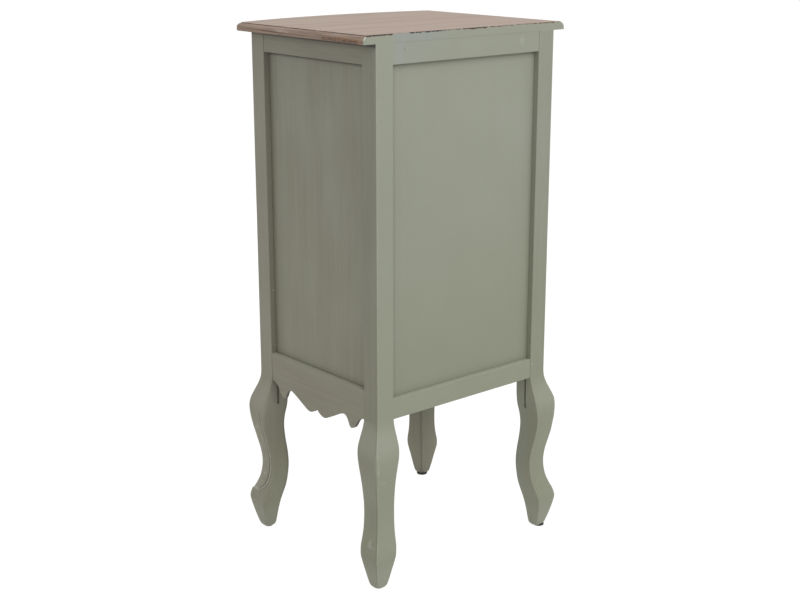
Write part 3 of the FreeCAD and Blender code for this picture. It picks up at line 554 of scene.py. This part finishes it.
def shade_in_corners(material, rows):
    """Painted shade on a panel, darker towards an edge where it meets its frame or towards its bottom. A row
    is an axis, where the panel is clear, where the painted shade is deepest, and how much of it there is."""
    tree = material.node_tree
    place = add_node(tree, "TexCoord").outputs["Object"]
    at = add_node(tree, "SeparateXYZ", Vector=place)
    for axis, clear, deepest, strength in rows:
        fade_in(material, at.outputs[axis], clear, deepest, strength, "#4a473c")


def highlight_upward_faces(material):
    """Painted highlight: paint made paler on faces that turn upwards, such as the upper ledge of a rail."""
    tree = material.node_tree
    normal = add_node(tree, "NewGeometry").outputs["Normal"]
    facing = add_node(tree, "SeparateXYZ", Vector=normal)
    fade_in(material, facing.outputs["Z"], 0.4, 0.9, 0.7, "#b9baad")


depthwise_paint = sage_paint("sage paint brushed front to back", "Y", 0.9)
painted_shadow_under_top(depthwise_paint)
apron_paint = sage_paint("sage paint on a sawn apron", "Y", 1.0)
# The sawn lower edge of an apron drank more of the glaze and is painted darker than the face; that darkness
# is also painted shade on an edge that turns away from the light.
tree = apron_paint.node_tree
normal = add_node(tree, "NewGeometry").outputs["Normal"]
facing = add_node(tree, "SeparateXYZ", Vector=normal).outputs
sawn = add_node(tree, "Math", unsigned, in_0=facing["X"])
sawn = add_node(tree, "MapRange", smooth_step, Value=sawn.outputs[0], From_Min=0.6, From_Max=0.2,
                To_Max=0.9)
downwards = add_node(tree, "MapRange", smooth_step, Value=facing["Z"], From_Min=0.5, From_Max=0.2)
sawn = add_node(tree, "Math", times, in_0=sawn.outputs[0], in_1=downwards.outputs[0])
cover(apron_paint, sawn.outputs[0], "#3b382e")
highlight_upward_faces(apron_paint)
panel_paint = sage_paint("sage paint on a side panel", "Z", 0.8)
shade_in_corners(panel_paint, [("Z", 0.7530, 0.7580, 0.95), ("Y", -0.0920, -0.1010, 0.30),
                               ("Z", 0.3030, 0.2995, 0.12)])
plywood_pale, plywood_dark = "#d5bd97", "#c3a57b"
bare_inside(panel_paint, "either side", plywood_pale, plywood_dark)
for hand in ("left", "right"):
    eased(f"side_top_rail_{hand}", depthwise_paint, "Y")
    eased(f"side_apron_{hand}", apron_paint, "Y")
    dress(panel_paint, f"side_panel_{hand}")

# Back frame: two rails and a thin panel, sprayed smooth over filled joints. Filler at one end of the top rail
# shows through grey-blue, with a straight brush edge and a small chip beside it.
crosswise_paint = sage_paint("sage paint brushed across", "X", 0.8)
highlight_upward_faces(crosswise_paint)
back_rail_paint = sage_paint("sage paint over grey filler", "X", 0.6)
back_face = 0.15425
filler_start, filler_end = 0.030, 0.150
tree = back_rail_paint.node_tree
place = add_node(tree, "TexCoord").outputs["Object"]
at = add_node(tree, "SeparateXYZ", Vector=place).outputs
behind = add_node(tree, "Math", more_than, in_0=at["Y"], in_1=back_face - 0.00045)
streaky = streaked(tree, place, "Z", 0.045, 0.0045, Detail=4.0)
across = add_node(tree, "MapRange", Value=at["X"], From_Min=filler_start, From_Max=filler_end)
filler = add_node(tree, "ValToRGB", Fac=across.outputs[0])
fades = [(0.00, 0.0), (0.14, 0.16), (0.45, 0.30), (0.72, 0.25), (0.74, 0.62), (0.89, 0.58), (0.915, 0.0)]


def set_stops(ramp, stops):
    """Give a colour ramp its stops, each a share of the ramp's length and a colour."""
    for share, colour in stops[1:-1]:
        ramp.color_ramp.elements.new(share)
    for stop, (share, colour) in zip(ramp.color_ramp.elements, stops):
        stop.position = share
        stop.color = colour


set_stops(filler, [(share, (strength, strength, strength, 1)) for share, strength in fades])
broken = add_node(tree, "MapRange", Value=streaky, From_Min=0.36, From_Max=0.64, To_Min=0.5, To_Max=1.25)
shows = add_node(tree, "Math", times, in_0=filler.outputs[0], in_1=broken.outputs[0])
shows = add_node(tree, "Math", times, in_0=shows.outputs[0], in_1=behind.outputs[0])
cover(back_rail_paint, shows.outputs[0], "#999d99")
small_marks(back_rail_paint, [((0.1190, back_face, 0.7790), (0.0012, 0.0012, 0.0012), "#5b5d53", 0.75),
                              ((0.1188, back_face, 0.7790), (0.0011, 0.0011, 0.0079), "#7d8076", 0.60),
                              ((-0.1040, back_face, 0.7770), (0.0080, 0.0080, 0.0080), "#a9ada0", 0.34)])
back_panel_paint = sage_paint("sage paint on the back panel", "Z", 0.6)
shade_in_corners(back_panel_paint, [("Z", 0.7545, 0.7573, 0.25), ("X", 0.1265, 0.1300, 0.16),
                                    ("X", -0.1330, -0.1385, 0.15), ("Z", 0.7200, 0.5600, 0.025),
                                    ("Z", 0.4600, 0.2900, 0.06)])
bare_inside(back_panel_paint, -1.0, plywood_pale, plywood_dark)
eased("back_top_rail", back_rail_paint, "X")
eased("back_bottom_rail", crosswise_paint, "X")
dress(back_panel_paint, "back_panel")

# Front frame: a top rail, two dividers and a scalloped apron, all sawn to the bow of the front and tenoned
# into the posts. They are painted with the brush drawn across.
for node in ("front_top_rail", "divider_upper", "divider_lower", "front_apron"):
    eased(node, crosswise_paint, "X")


def bare_wood(name, run, pale, dark):
    """Planed unfinished wood: soft growth bands with fine darker pores drawn out along the grain. The pores
    are drawn 0.7 mm wide, coarser than real ones, so that they show."""
    material, tree, shader = new_finish(name)
    place = add_node(tree, "TexCoord").outputs["Object"]
    bands = streaked(tree, place, run, 0.35, 0.012, Detail=3.0, Distortion=0.6)
    pores = streaked(tree, place, run, 0.03, 0.0007, Detail=2.0)
    figure = add_node(tree, "MapRange", smooth_step, Value=bands, From_Min=0.35, From_Max=0.68)
    wood = add_node(tree, "Mix", colour_mix, in_0=figure.outputs[0], in_6=linear(pale), in_7=linear(dark))
    tree.links.new(wood.outputs[2], shader.inputs["Base Color"])
    flecks = add_node(tree, "MapRange", Value=pores, From_Min=0.58, From_Max=0.78, To_Max=0.4)
    cover(material, flecks.outputs[0], "#7a5c3c")
    bump = add_node(tree, "Bump", Strength=0.3, Distance=0.0003, Height=pores)
    tree.links.new(bump.outputs[0], shader.inputs["Normal"])
    shader.inputs["Roughness"].default_value = 0.62
    return material


# Runners, stops and cleats: planed beech battens screwed and glued inside the carcass, left bare so that
# the drawers slide. The cleats hold the top with zinc-plated screws.
beech_pale, beech_dark = "#cfae84", "#bb9566"
beech = bare_wood("planed beech, grain front to back", "Y", beech_pale, beech_dark)
for level in ("upper", "middle", "lower"):
    dress(beech, f"runner_{level}_left", f"runner_{level}_right")
dress(beech, "drawer_stops", "top_cleat_left", "top_cleat_right")
dress(zinc, "top_screws")

# Top board: solid wood, limed to a pinkish brown, with a moulded edge on three sides that is left darker.
# Its back edge is cut flush with the frame and painted with it, and the stain shows along that arris.
top_half = 0.190
top_radius = 0.6755
top_centre = 0.50475
top_corner = 0.012
top_under, top_level = 0.788, 0.800
moulding = 0.0065


def limed_wood(name, run, mid, pale, dark, band, grain):
    """Stained wood rubbed with white lime: the grain stays as faint lines, palest in the open pores."""
    material, tree, shader = new_finish(name)
    place = add_node(tree, "TexCoord").outputs["Object"]
    lines = streaked(tree, place, run, 0.10, 0.0022, Detail=4.0, Roughness=0.6)
    bands = streaked(tree, place, run, 0.40, band, Detail=3.0, Distortion=0.5)
    figure = add_node(tree, "MapRange", smooth_step, Value=bands, From_Min=0.36, From_Max=0.64)
    wood = add_node(tree, "Mix", colour_mix, in_0=figure.outputs[0], in_6=linear(pale), in_7=linear(mid))
    tree.links.new(wood.outputs[2], shader.inputs["Base Color"])
    fade_in(material, lines, 0.46, 0.70, grain, dark)
    fade_in(material, lines, 0.36, 0.24, 0.4 * grain, "#d3c8bd")
    bump = add_node(tree, "Bump", Strength=0.3, Distance=0.0003, Height=lines)
    tree.links.new(bump.outputs[0], shader.inputs["Normal"])
    shader.inputs["Roughness"].default_value = 0.55
    return material


# Stain left along the back arris: place across the top in metres, its colour there and how much of it shows.
arris_stain = [
    (-0.190, "#8a7350", 0.25), (-0.172, "#6a5238", 0.30), (-0.167, "#66502f", 0.85),
    (-0.144, "#66502f", 0.80), (-0.139, "#5d4637", 0.52), (-0.040, "#5d4637", 0.52),
    (-0.036, "#5d4637", 0.10), (-0.032, "#47382e", 0.95), (0.012, "#47382e", 0.95),
    (0.015, "#5d4637", 0.10), (0.017, "#4a382d", 0.50), (0.042, "#4a382d", 0.50),
    (0.046, "#2a2320", 0.80), (0.108, "#2a2320", 0.80), (0.111, "#4a382d", 0.05),
    (0.139, "#4a382d", 0.05), (0.141, "#3d2d24", 1.00), (0.184, "#3d2d24", 1.00),
]


def stain_along_back(material):
    """Brown stain that shows through where the paint stops short of the top's back arris."""
    tree = material.node_tree
    place = add_node(tree, "TexCoord").outputs["Object"]
    at = add_node(tree, "SeparateXYZ", Vector=place).outputs
    across = add_node(tree, "MapRange", Value=at["X"], From_Min=-top_half, From_Max=top_half)
    stain = add_node(tree, "ValToRGB", Fac=across.outputs[0])
    set_stops(stain, [((x + top_half) / (2 * top_half), (*linear(code)[:3], strength))
                      for x, code, strength in arris_stain])
    inwards = add_node(tree, "Math", minus, in_0=back_face, in_1=at["Y"])
    downwards = add_node(tree, "Math", minus, in_0=top_level, in_1=at["Z"])
    gap = add_node(tree, "Math", larger, in_0=inwards.outputs[0], in_1=downwards.outputs[0])
    blots = streaked(tree, place, "X", 0.005, 0.004, Detail=4.0, Roughness=0.7)
    reach = add_node(tree, "MapRange", Value=stain.outputs["Alpha"], To_Min=-0.0004, To_Max=0.0017)
    ragged = add_node(tree, "MapRange", Value=blots, From_Min=0.3, From_Max=0.7,
                      To_Min=-0.0012, To_Max=0.0014)
    reach = add_node(tree, "Math", plus, in_0=reach.outputs[0], in_1=ragged.outputs[0])
    depth = add_node(tree, "Math", minus, in_0=reach.outputs[0], in_1=gap.outputs[0])
    fade_in(material, depth.outputs[0], -0.0002, 0.0003, 1.0, stain.outputs["Color"])


def top_plan(inset):
    """Outline of the top drawn in by inset on its front and sides, from its right back corner round."""
    half, radius, corner = top_half - inset, top_radius - inset, top_corner - inset
    reach = math.sqrt((radius - corner) ** 2 - (half - corner) ** 2)
    turn = math.atan2(half - corner, reach)
    plan = [(half, back_face), (half, back_face - 0.1), (half, top_centre - reach)]
    for step in range(1, 9):
        angle = (math.pi / 2 - turn) * step / 8
        plan.append((half - corner + corner * math.cos(angle), top_centre - reach - corner * math.sin(angle)))
    sweep = [turn * (1 - step / 20) for step in range(1, 20)]
    plan += [(radius * math.sin(angle), top_centre - radius * math.cos(angle)) for angle in sweep]
    return plan + [(0, top_centre - radius)] + [(-x, y) for x, y in reversed(plan)]


edge_profile = [(0.0012, top_under), (0.0006, top_under + 0.0002), (0.0002, top_under + 0.0006),
                (0.0, top_under + 0.0012), (0.0, 0.7908), (0.0005, 0.7912), (0.0005, 0.7916),
                (0.0001, 0.7921)]
edge_profile += [(moulding * (1 - math.cos(math.radians(a))), 0.7923 + moulding * math.sin(math.radians(a)))
                 for a in (0, 15, 30, 45, 60, 75, 90)]
edge_profile += [(0.0072, 0.7989), (0.0072, 0.7996), (0.0074, 0.7999), (0.0080, top_level)]
top = bmesh.new()
skinned(top, [[(x, y, height) for x, y in top_plan(inset)] for inset, height in edge_profile])
bmesh.ops.recalc_face_normals(top, faces=top.faces)
top.normal_update()
# The finish of each face of the top, numbered in the order in which the finishes are given to it below.
field, front_edge, side_edge, quirk, back_edge = range(5)
quirk_low, quirk_high, flush = 0.79875, 0.7997, 0.00001
for face in top.faces:
    middle = face.calc_center_median()
    if middle.y > back_face - flush:
        face.material_index = back_edge
    elif middle.z > quirk_high or middle.z < top_under + flush:
        face.material_index = field
    elif middle.z > quirk_low:
        face.material_index = quirk
    else:
        face.material_index = side_edge if abs(face.normal.x) > abs(face.normal.y) else front_edge
field_wood = limed_wood("limed wood, grain across", "X", "#a99282", "#b29c8c", "#957b6a", 0.03, 0.6)
stain_along_back(field_wood)
moulding_colours = ("#8f7666", "#a8907f", "#4f382a")
front_moulding = limed_wood("stained moulding, grain across", "X", *moulding_colours, 0.004, 1.0)
side_moulding = limed_wood("stained moulding, grain front to back", "Y", *moulding_colours, 0.004, 1.0)
# The quirk's dark line is stain, and also painted shade in the step between the field and the moulding.
quirk_stain_and_shade = limed_wood("dark stain left in the quirk", "Y", "#5b4436", "#74604f", "#3b2b22", 0.01, 0.6)


def mark_side(material, side, start, stop, low, high, tint, strength, size):
    """A mark on one side's moulding between two places along it and two heights, broken up at a real size."""
    tree = material.node_tree
    place = add_node(tree, "TexCoord").outputs["Object"]
    at = add_node(tree, "SeparateXYZ", Vector=place).outputs
    here = add_node(tree, "Math", times, in_0=at["X"], in_1=side)
    here = add_node(tree, "Math", more_than, in_0=here.outputs[0], in_1=top_half - 0.020)
    for axis, first, last, soft in (("Y", start, stop, 0.006), ("Z", low, high, 0.0008)):
        off = add_node(tree, "Math", minus, in_0=at[axis], in_1=(first + last) / 2)
        off = add_node(tree, "Math", unsigned, in_0=off.outputs[0])
        half = (last - first) / 2
        within = add_node(tree, "MapRange", smooth_step, Value=off.outputs[0],
                          From_Min=half + soft, From_Max=half - soft / 2)
        here = add_node(tree, "Math", times, in_0=here.outputs[0], in_1=within.outputs[0])
    rough = streaked(tree, place, "Y", 4 * size, size, Detail=4.0, Roughness=0.65)
    broken = add_node(tree, "MapRange", smooth_step, Value=rough, From_Min=0.42, From_Max=0.58,
                      To_Max=strength)
    here = add_node(tree, "Math", times, in_0=here.outputs[0], in_1=broken.outputs[0])
    cover(material, here.outputs[0], tint)


# Wear on the side mouldings: bare orange-brown patches with dark specks, pale scuffs and gaps in the quirk's
# stain. A row is a side, two places along it, two heights, a colour, a strength and the size of its breaks.
moulding_wear = [
    (1, 0.072, 0.146, 0.7880, 0.7948, "#a87a52", 0.95, 0.0018),
    (1, 0.066, 0.140, 0.7880, 0.7936, "#33241b", 0.85, 0.0010),
    (1, -0.040, -0.012, 0.7932, 0.7948, "#cdc2b6", 0.9, 0.0008),
    (1, -0.150, 0.030, 0.7884, 0.7902, "#a98f7c", 0.6, 0.0012),
    (-1, -0.090, -0.030, 0.7880, 0.7940, "#9d7350", 0.9, 0.0016),
    (-1, -0.086, -0.024, 0.7880, 0.7932, "#38281e", 0.8, 0.0009),
    (-1, 0.060, 0.100, 0.7940, 0.7956, "#cdc2b6", 0.9, 0.0008),
]
for row in moulding_wear:
    mark_side(side_moulding, *row)
quirk_gaps = [(1, 0.044, 0.058, 1.0), (1, -0.030, -0.018, 0.8), (-1, -0.020, 0.004, 0.9)]
for side, start, stop, strength in quirk_gaps:
    mark_side(quirk_stain_and_shade, side, start, stop, 0.7980, top_level, "#c3b2a6", strength, 0.0030)

back_edge_paint = back_rail_paint.copy()
back_edge_paint.name = "sage paint lapped over the moulding's end"
tree = back_edge_paint.node_tree
place = add_node(tree, "TexCoord").outputs["Object"]
at = add_node(tree, "SeparateXYZ", Vector=place).outputs
# The paint on the back edge ends in a thick pale ridge where the brush left the moulding; lying on the
# rounded shoulder, the ridge is also a painted highlight.
sideways = add_node(tree, "Math", unsigned, in_0=at["X"])
ridge = add_node(tree, "Math", plus, in_0=sideways.outputs[0], in_1=at["Z"])
fade_in(back_edge_paint, ridge.outputs[0], 0.9822, 0.9838, 0.9, "#e6e9e0")
# Above the filled joint the same grey filler shows on this edge too, in blots.
blots = add_node(tree, "TexNoise", Vector=place, Scale=1 / 0.006, Detail=4.0, Roughness=0.65)
reach = add_node(tree, "MapRange", smooth_step, Value=at["X"], From_Min=filler_start, From_Max=0.060)
stop = add_node(tree, "Math", less_than, in_0=at["X"], in_1=inner_x)
haze = add_node(tree, "MapRange", smooth_step, Value=blots.outputs[0], From_Min=0.36, From_Max=0.60,
                To_Max=0.6)
haze = add_node(tree, "Math", times, in_0=haze.outputs[0], in_1=reach.outputs[0])
haze = add_node(tree, "Math", times, in_0=haze.outputs[0], in_1=stop.outputs[0])
cover(back_edge_paint, haze.outputs[0], "#959b98")
stain_along_back(back_edge_paint)
finished(top, "top_board_moulded", "carcass",
         [field_wood, front_moulding, side_moulding, quirk_stain_and_shade, back_edge_paint], ["top_board"])

# Drawers: a bowed front with a routed line round it, painted outside, on a plain box of beech boards with a
# plywood bottom. Each has one turned brass knob, screwed through from inside.
front_paint = sage_paint("sage paint on a drawer front", "X", 0.8)
bare_inside(front_paint, 1.0, beech_pale, beech_dark)
drawer_ply = bare_wood("sanded birch plywood", "X", "#d8bf98", "#c9ab7f")
drawer_back_wood = bare_wood("planed beech, grain across", "X", beech_pale, beech_dark)
# Aged brass: warm metal, browner and duller where it has tarnished.
brass, tree, shader = new_finish("aged brass")
place = add_node(tree, "TexCoord").outputs["Object"]
tarnish = add_node(tree, "TexNoise", Vector=place, Scale=1 / 0.009, Detail=5.0, Roughness=0.65)
patina = add_node(tree, "MapRange", smooth_step, Value=tarnish.outputs[0], From_Min=0.35, From_Max=0.7)
metal = add_node(tree, "Mix", colour_mix, in_0=patina.outputs[0],
                 in_6=linear("#a88a58"), in_7=linear("#80663f"))
dull = add_node(tree, "MapRange", Value=patina.outputs[0], To_Min=0.34, To_Max=0.5)
tree.links.new(metal.outputs[2], shader.inputs["Base Color"])
tree.links.new(dull.outputs[0], shader.inputs["Roughness"])
shader.inputs["Metallic"].default_value = 1.0

knob_seat = -0.14675
knob_turning = [
    (0.0, 0.0), (0.0085, 0.0), (0.0085, 0.0010), (0.0078, 0.0018), (0.0066, 0.0021),
    (0.0062, 0.0028), (0.0048, 0.0040), (0.0042, 0.0062), (0.0046, 0.0082), (0.0066, 0.0094),
    (0.0072, 0.0100), (0.0086, 0.0106), (0.0106, 0.0122), (0.0118, 0.0144), (0.0119, 0.0162),
    (0.0112, 0.0182), (0.0096, 0.0200), (0.0074, 0.0210), (0.0068, 0.0207), (0.0060, 0.0211),
    (0.0034, 0.0218), (0.0, 0.0220),
]
for level in ("upper", "middle", "lower"):
    body = f"drawer_{level}"
    eased(f"{body}_front", front_paint, "X", body)
    dress(beech, f"{body}_side_left", f"{body}_side_right")
    dress(drawer_back_wood, f"{body}_back")
    dress(drawer_ply, f"{body}_bottom")
    dress(zinc, f"{body}_knob_screw")
    low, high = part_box(f"{body}_knob")
    middle = (low.z + high.z) / 2
    knob = bmesh.new()
    line = [knob.verts.new((radius, knob_seat - reach, middle)) for radius, reach in knob_turning]
    edges = [knob.edges.new(pair) for pair in zip(line, line[1:])]
    bmesh.ops.spin(knob, geom=[*line, *edges], cent=(0, 0, middle), axis=(0, 1, 0), angle=math.tau, steps=48,
                   use_merge=True)
    finished(knob, f"{body}_knob_turned", body, [brass], [f"{body}_knob"])

# Studio: a white floor that keeps a soft shadow, a broad lamp over the back, a weaker one before the front
# and even light from all round.
scene = bpy.context.scene
floor_mesh = bmesh.new()
bmesh.ops.create_grid(floor_mesh, x_segments=1, y_segments=1, size=40)
sheet = bpy.data.meshes.new("floor")
floor_mesh.to_mesh(sheet)
floor_mesh.free()
floor = bpy.data.objects.new("floor", sheet)
scene.collection.objects.link(floor)


def shown_white(tree):
    """1 for the rays that show the studio, from the camera or by gloss or glass, and 0 for other rays."""
    rays = add_node(tree, "LightPath").outputs
    seen = add_node(tree, "Math", larger, in_0=rays["Is Camera Ray"], in_1=rays["Is Glossy Ray"])
    seen = add_node(tree, "Math", larger, in_0=seen.outputs[0], in_1=rays["Is Transmission Ray"])
    return seen.outputs[0]


# Matt white paper, which is shown whiter than it is lit but still darkens in the shadow.
paper, tree, matt = new_finish("white studio paper")
matt.inputs["Base Color"].default_value = linear("#e8e8e6")
matt.inputs["Roughness"].default_value = 0.9
share = add_node(tree, "Math", times, in_0=shown_white(tree), in_1=0.75)
white = add_node(tree, "Emission", Color=(1, 1, 1, 1), Strength=1.22)
both = add_node(tree, "MixShader", in_0=share.outputs[0], in_1=matt.outputs[0], in_2=white.outputs[0])
tree.links.new(both.outputs[0], tree.nodes["Material Output"].inputs["Surface"])
sheet.materials.append(paper)

scene.world = bpy.data.worlds.new("studio")
scene.world.use_nodes = True
tree = scene.world.node_tree
around = tree.nodes["Background"]
around.inputs["Color"].default_value = (1, 1, 1, 1)
around.inputs["Strength"].default_value = 0.56
backdrop = add_node(tree, "Background", Color=(1, 1, 1, 1), Strength=1.0)
both = add_node(tree, "MixShader", in_0=shown_white(tree), in_1=around.outputs[0], in_2=backdrop.outputs[0])
tree.links.new(both.outputs[0], tree.nodes["World Output"].inputs["Surface"])

# Each lamp's size, power, place, the height on the object that it is aimed at, and whether gloss mirrors it.
lamps = {"broad lamp": (1.6, 27.5, (0.12, 2.10, 2.20), 0.45, True),
         "front lamp": (1.4, 12, (-0.9, -2.3, 0.85), 0.35, False)}
for name, (size, power, place, aim, mirrored) in lamps.items():
    lamp = bpy.data.objects.new(name, bpy.data.lights.new(name, "AREA"))
    lamp.data.size = size
    lamp.data.energy = power
    lamp.location = place
    lamp.visible_glossy = mirrored
    lamp.rotation_mode = "QUATERNION"
    lamp.rotation_quaternion = (Vector((0, 0, aim)) - lamp.location).to_track_quat("-Z", "Y")
    scene.collection.objects.link(lamp)

# Camera: above and behind the right-hand back corner, as in the photograph.
camera = bpy.data.objects.new("camera", bpy.data.cameras.new("camera"))
head, pitch = math.radians(40.51), math.radians(15.92)
camera.location = (1.3278, 1.5595, 0.9594)
look = Vector((-math.sin(head) * math.cos(pitch), -math.cos(head) * math.cos(pitch), -math.sin(pitch)))
camera.rotation_mode = "QUATERNION"
camera.rotation_quaternion = look.to_track_quat("-Z", "Y")
camera.data.sensor_width = 36
camera.data.lens = 61.83
scene.collection.objects.link(camera)
scene.camera = camera
scene.view_settings.view_transform = "Standard"
